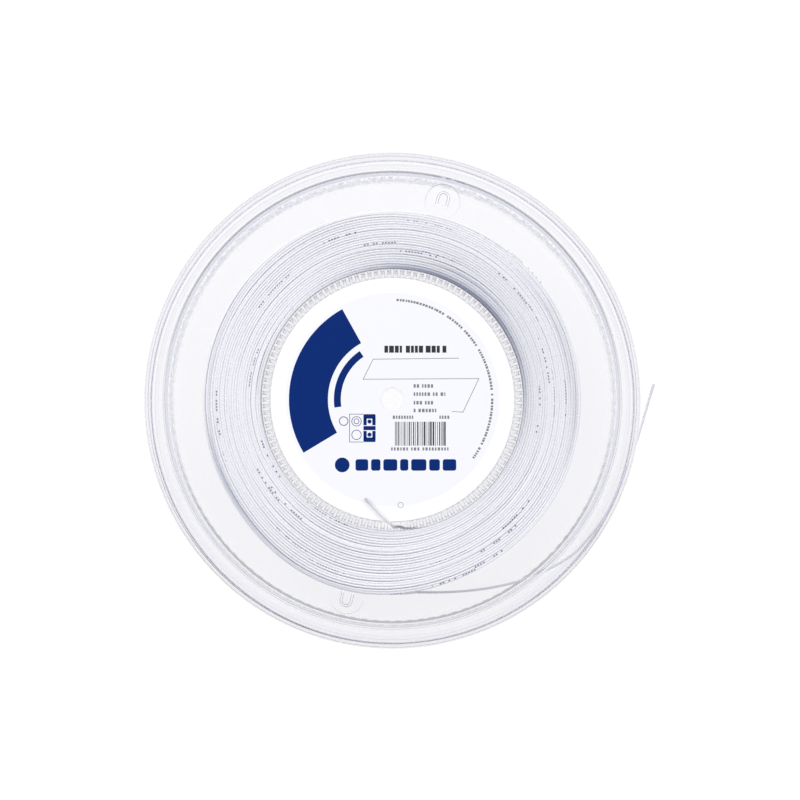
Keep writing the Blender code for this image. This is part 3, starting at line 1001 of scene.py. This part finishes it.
def make_winding(material):
    """All the turns as one continuous string, cut into lengths only to keep each mesh a workable size."""
    turns, degrees, radius, height = winding_path()
    angle = np.radians(degrees)
    centre = np.stack([radius * np.cos(angle), radius * np.sin(angle), height], axis=-1)
    steps = np.linalg.norm(np.diff(centre, axis=0), axis=1)
    lengths = np.concatenate([[0.0], np.cumsum(steps)])
    # Painted shade along the string, stored on each mesh
    tone = winding_tone_and_painted_shade(turns, degrees, radius)
    sides = 8
    turn = 2 * math.pi * (np.arange(sides) + 0.5) / sides
    outward = np.stack([np.cos(angle), np.sin(angle), np.zeros_like(angle)], axis=-1)[:, None, :]
    upward = np.array([0.0, 0.0, 1.0])
    ring = np.cos(turn)[:, None] * outward + np.sin(turn)[:, None] * upward
    grid = centre[:, None, :] + STRING_RADIUS * ring
    bounds = np.linspace(0, len(centre) - 1, WINDING_PIECES + 1).astype(int)
    for i in range(WINDING_PIECES):
        rows = slice(bounds[i], bounds[i + 1] + 1)
        name = f"string_turns_{i + 1}"
        mesh = grid_mesh(name, grid[rows], lengths=lengths[rows])
        shade(mesh, 60.0)
        set_tone_and_painted_shade(mesh, np.repeat(tone[rows], sides))
        piece = link(name, mesh, material)
        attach(piece, "reel")
        if i == 0:
            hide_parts("string_winding")
    return lengths[-1]


# The label


def arc_band(inner, outer, start, stop, steps=64):
    """A flat ring sector's outline, in mm and degrees."""
    angles = [math.radians(start + (stop - start) * i / steps) for i in range(steps + 1)]
    outline = [(outer * math.cos(a), outer * math.sin(a)) for a in angles]
    outline += [(inner * math.cos(a), inner * math.sin(a)) for a in reversed(angles)]
    return outline


def bar(x, y, width, height, turn=0.0, corner=0.0):
    """A rectangle's outline about its centre, in mm, with its corners rounded where corner says."""
    outline = []
    for sx, sy, start in ((1, -1, -90), (1, 1, 0), (-1, 1, 90), (-1, -1, 180)):
        cx, cy = sx * (width / 2 - corner), sy * (height / 2 - corner)
        for step in range(5 if corner else 1):
            a = math.radians(start + 22.5 * step)
            outline.append((cx + corner * math.cos(a), cy + corner * math.sin(a)))
    c, s = math.cos(math.radians(turn)), math.sin(math.radians(turn))
    return [(x + c * px - s * py, y + s * px + c * py) for px, py in outline]


def stroke(points, width):
    """Bars along an open line of points, each a little long so that corners close."""
    bars = []
    for (x1, y1), (x2, y2) in zip(points, points[1:]):
        length = math.hypot(x2 - x1, y2 - y1)
        turn = math.degrees(math.atan2(y2 - y1, x2 - x1))
        bars.append(bar((x1 + x2) / 2, (y1 + y2) / 2, length + width, width, turn))
    return bars


def ring_outlines(x, y, radius, width):
    """A thin printed ring as two half bands."""
    halves = []
    for start in (0.0, 180.0):
        band = arc_band(radius - width / 2, radius + width / 2, start, start + 180.0, 24)
        halves.append([(x + px, y + py) for px, py in band])
    return halves


def plain_blocks(draw, x, y, width, height, widest, gap):
    """A line of plain blocks that stands for a line of print and says nothing."""
    blocks = []
    at = 0.0
    while at < width:
        block = min(draw.uniform(0.55, 1.0) * widest, width - at)
        if block > 0.25 * widest:
            blocks.append(bar(x + at + block / 2, y, block, height))
        at += block + (gap if draw.random() > 0.16 else 2.6 * gap)
    return blocks


def print_blue():
    """The label's blue artwork: two arc bands, and a disc with a row of tiles."""
    shapes = [arc_band(31.5, 50.6, 119.0, 211.0), arc_band(25.2, 28.6, 124.0, 188.0)]
    at = -18.0
    for width in (6.2, 4.6, 6.8, 4.0, 7.4, 5.2, 6.6):
        shapes.append(bar(at + width / 2, -32.0, width, 5.6, corner=1.1))
        at += width + 1.4
    shapes.append(round_outline(-24.5, -32.0, 3.6, 40))
    return shapes


def print_icon_box():
    """A generic framed pair of plain marks beside the bar pattern."""
    left, right, top, bottom = -20.9, -8.2, -7.2, -20.8
    middle = (left + right) / 2 + 0.4
    shapes = stroke([(middle, top), (left, top), (left, bottom), (middle, bottom)], 0.25)
    for y in (top - 3.5, bottom + 3.5):
        shapes += ring_outlines((left + middle) / 2, y, 2.3, 0.3)
    shapes += ring_outlines((left + middle) / 2, top - 3.5, 1.2, 0.3)
    shapes += ring_outlines(-23.8, -10.6, 2.1, 0.35)
    centre = (right + middle) / 2
    shapes.append(bar(centre, top - 1.1, right - middle, 2.2, corner=0.6))
    shapes.append(bar(centre, (top + bottom) / 2, right - middle, 2.0))
    shapes.append(bar(centre, bottom + 1.1, right - middle, 2.2, corner=0.6))
    for y in (top - 3.6, bottom + 3.6):
        for x in (middle + 0.8, right - 0.8):
            shapes.append(bar(x, y, 1.6, 3.6))
        shapes.append(round_outline(centre, y, 1.0, 40))
    return shapes


def print_black():
    """The dark print: a heading of blocks and a plain bar pattern."""
    draw = random.Random(11)
    shapes = plain_blocks(draw, -3.9, 24.6, 8.6, 3.4, 2.4, 0.5)
    shapes += plain_blocks(draw, 6.6, 24.6, 21.0, 3.4, 2.4, 0.5)
    left, right, top, bottom = 1.3, 26.1, -10.9, -22.6
    at = left
    while at < right:
        width = draw.choice((0.28, 0.28, 0.5, 0.75))
        shapes.append(bar(at + width / 2, (top + bottom) / 2, width, top - bottom))
        at += width + draw.choice((0.3, 0.45, 0.7))
    return shapes


def print_grey():
    """The light print: a ruled line, small lines of blocks, the line of blocks round the edge and a ring."""
    draw = random.Random(12)
    ruled = [(32.5, 20.2), (-9.4, 19.7), (-14.3, 9.9), (42.3, 10.2), (34.5, -6.2), (29.2, -5.9)]
    shapes = stroke(ruled, 0.28)
    for y, width in ((6.6, 9.5), (2.6, 15.5), (-1.6, 9.6), (-5.4, 11.0)):
        shapes += plain_blocks(draw, 10.4, y, width, 1.7, 1.3, 0.55)
    shapes += plain_blocks(draw, 0.2, -8.7, 10.6, 1.6, 1.2, 0.5)
    shapes += plain_blocks(draw, 23.0, -8.7, 4.8, 1.6, 1.2, 0.5)
    shapes += plain_blocks(draw, -0.6, -24.2, 28.0, 1.5, 1.2, 0.6)
    radius, angle = 48.8, 87.0
    while angle > -36.0:
        size = draw.uniform(0.7, 1.25)
        if draw.random() > 0.14:
            a = math.radians(angle)
            shapes.append(bar(radius * math.cos(a), radius * math.sin(a), size, 1.15, angle - 90.0))
        angle -= math.degrees((size + 0.45) / radius)
    shapes += ring_outlines(4.0, -51.6, 1.3, 0.22)
    return shapes


def make_print(name, outlines, material):
    """One ink of the label's print, as thin closed plates on the label."""
    plates = []
    for outline in outlines:
        outline = [(x * MM, y * MM) for x, y in outline]
        plates.append([raised(outline, height) for height in (LABEL_TOP, LABEL_TOP + INK_THICKNESS)])
    piece = lofted(name, plates, material)
    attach(piece, "reel")


def make_label():
    hole = SPINDLE_RADIUS + GAP
    outline = [
        (hole, LABEL_BOTTOM, LABEL_ROUND),
        (LABEL_RADIUS, LABEL_BOTTOM, LABEL_ROUND),
        (LABEL_RADIUS, LABEL_TOP, LABEL_ROUND),
        (hole, LABEL_TOP, LABEL_ROUND),
    ]
    label = link("label", turned_mesh("label", [filleted(outline)] * 288), label_paper())
    keep_flats(label)
    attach(label, "reel")
    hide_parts("front_label")
    blue = ink("ink_blue", (0.0005, 0.02, 0.15))
    make_print("label_print_blue", print_blue(), blue)
    make_print("label_print_marks", print_icon_box(), blue)
    make_print("label_print_black", print_black(), ink("ink_black", (0.035, 0.035, 0.045)))
    make_print("label_print_grey", print_grey(), ink("ink_grey", (0.2, 0.205, 0.23)))


# Stage


def make_floor():
    """A pale light table: it shines softly from below, as under a catalogue shot."""
    material, add = node_material("light_table")
    place = add("ShaderNodeTexCoord").outputs["Object"]
    across = add("ShaderNodeSeparateXYZ", {"Vector": place}).outputs["Y"]
    slope = map_range(add, across, 0.872, 0.955, -0.2, 0.2)
    shader = add(
        "ShaderNodeBsdfPrincipled",
        {
            "Base Color": (0.12, 0.12, 0.12, 1.0),
            "Roughness": 0.8,
            "Emission Color": (1.0, 1.0, 1.0, 1.0),
            "Emission Strength": maths(add, "MULTIPLY_ADD", noise(add, place, 6.0, 2.0), 0.015, slope),
            "Specular IOR Level": 0.1,
        },
    )
    finished(material, add, shader)
    bm = bmesh.new()
    bmesh.ops.create_grid(bm, x_segments=4, y_segments=4, size=5.0)
    floor = from_bmesh("floor", bm, material)
    floor.location.z = -0.2 * MM


def make_world():
    """A studio dome: a bright ring of softboxes half way up, dimmer overhead where the camera hangs, and
    dark towards the horizon, which draws the clear plastic's edges."""
    world = bpy.data.worlds.new("studio")
    bpy.context.scene.world = world
    add = node_adder(world)
    direction = add("ShaderNodeTexCoord").outputs["Generated"]
    parts = add("ShaderNodeSeparateXYZ", {"Vector": direction})
    dome = add("ShaderNodeValToRGB", {"Fac": parts.outputs["Z"]})
    dome.color_ramp.interpolation = "EASE"
    stops = (
        (0.0, (0.36, 0.36, 0.39)),
        (0.18, (0.40, 0.40, 0.43)),
        (0.42, (1.03, 1.03, 1.03)),
        (0.90, (1.08, 1.08, 1.08)),
        (0.985, (0.60, 0.59, 0.64)),
    )
    fill_ramp(dome.color_ramp, stops)
    path = add("ShaderNodeLightPath").outputs
    colour = mix_colours(add, path["Is Camera Ray"], dome.outputs["Color"], (1.0, 1.0, 1.0))
    strength = maths(add, "MAXIMUM", maths(add, "MULTIPLY_ADD", parts.outputs["Y"], 0.9, 1.0), 0.55)
    # Reflections and refractions see the far side no brighter than the middle
    capped = maths(add, "MINIMUM", strength, 0.95)
    seen = add("ShaderNodeMix", {"Factor": path["Is Glossy Ray"], "A": strength, "B": capped})
    ground = add("ShaderNodeBackground", {"Color": colour, "Strength": seen.outputs["Result"]})
    add("ShaderNodeOutputWorld", {"Surface": ground.outputs[0]})


def area_light(name, location, size, power):
    data = bpy.data.lights.new(name, "AREA")
    data.shape = "SQUARE"
    data.size = size
    data.energy = power
    light = bpy.data.objects.new(name, data)
    light.location = location
    light.rotation_euler = (-Vector(location)).to_track_quat("-Z", "Y").to_euler()
    light.visible_camera = False
    light.visible_glossy = False
    light.visible_transmission = False
    bpy.context.scene.collection.objects.link(light)


def main():
    bpy.context.scene.view_settings.view_transform = "Standard"
    make_camera()
    string = string_polyester()
    # The free stretches carry painted shade, darker at their tips
    make_cord("outer_tail", "string_outer_tail", TAIL_ROUTE, string, 0.25, 0.35)
    make_cord("inner_end", "string_inner_end", INNER_END_ROUTE, string, 0.15, 0.55)
    plastic, edge = clear_plastic(), edge_plastic()
    for node, half in (
        ("reel_half_lower", make_lower_half(plastic, edge)),
        ("reel_half_upper", make_upper_half(plastic, edge)),
    ):
        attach(half, "reel")
        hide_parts(node)
    for side, face_height, outward in (("lower", WEB_OUTER, -1), ("upper", UPPER_WEB_OUTER, 1)):
        tongue = make_tongue(side, face_height, outward, plastic, edge)
        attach(tongue, side + "_clip")
        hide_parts("clip_tongue_" + side)
    make_label()
    print("string in the winding, m:", round(float(make_winding(string)), 2))
    make_floor()
    make_world()
    area_light("key_light", (-1.2, 1.0, 1.5), 1.0, 9.0)


main()
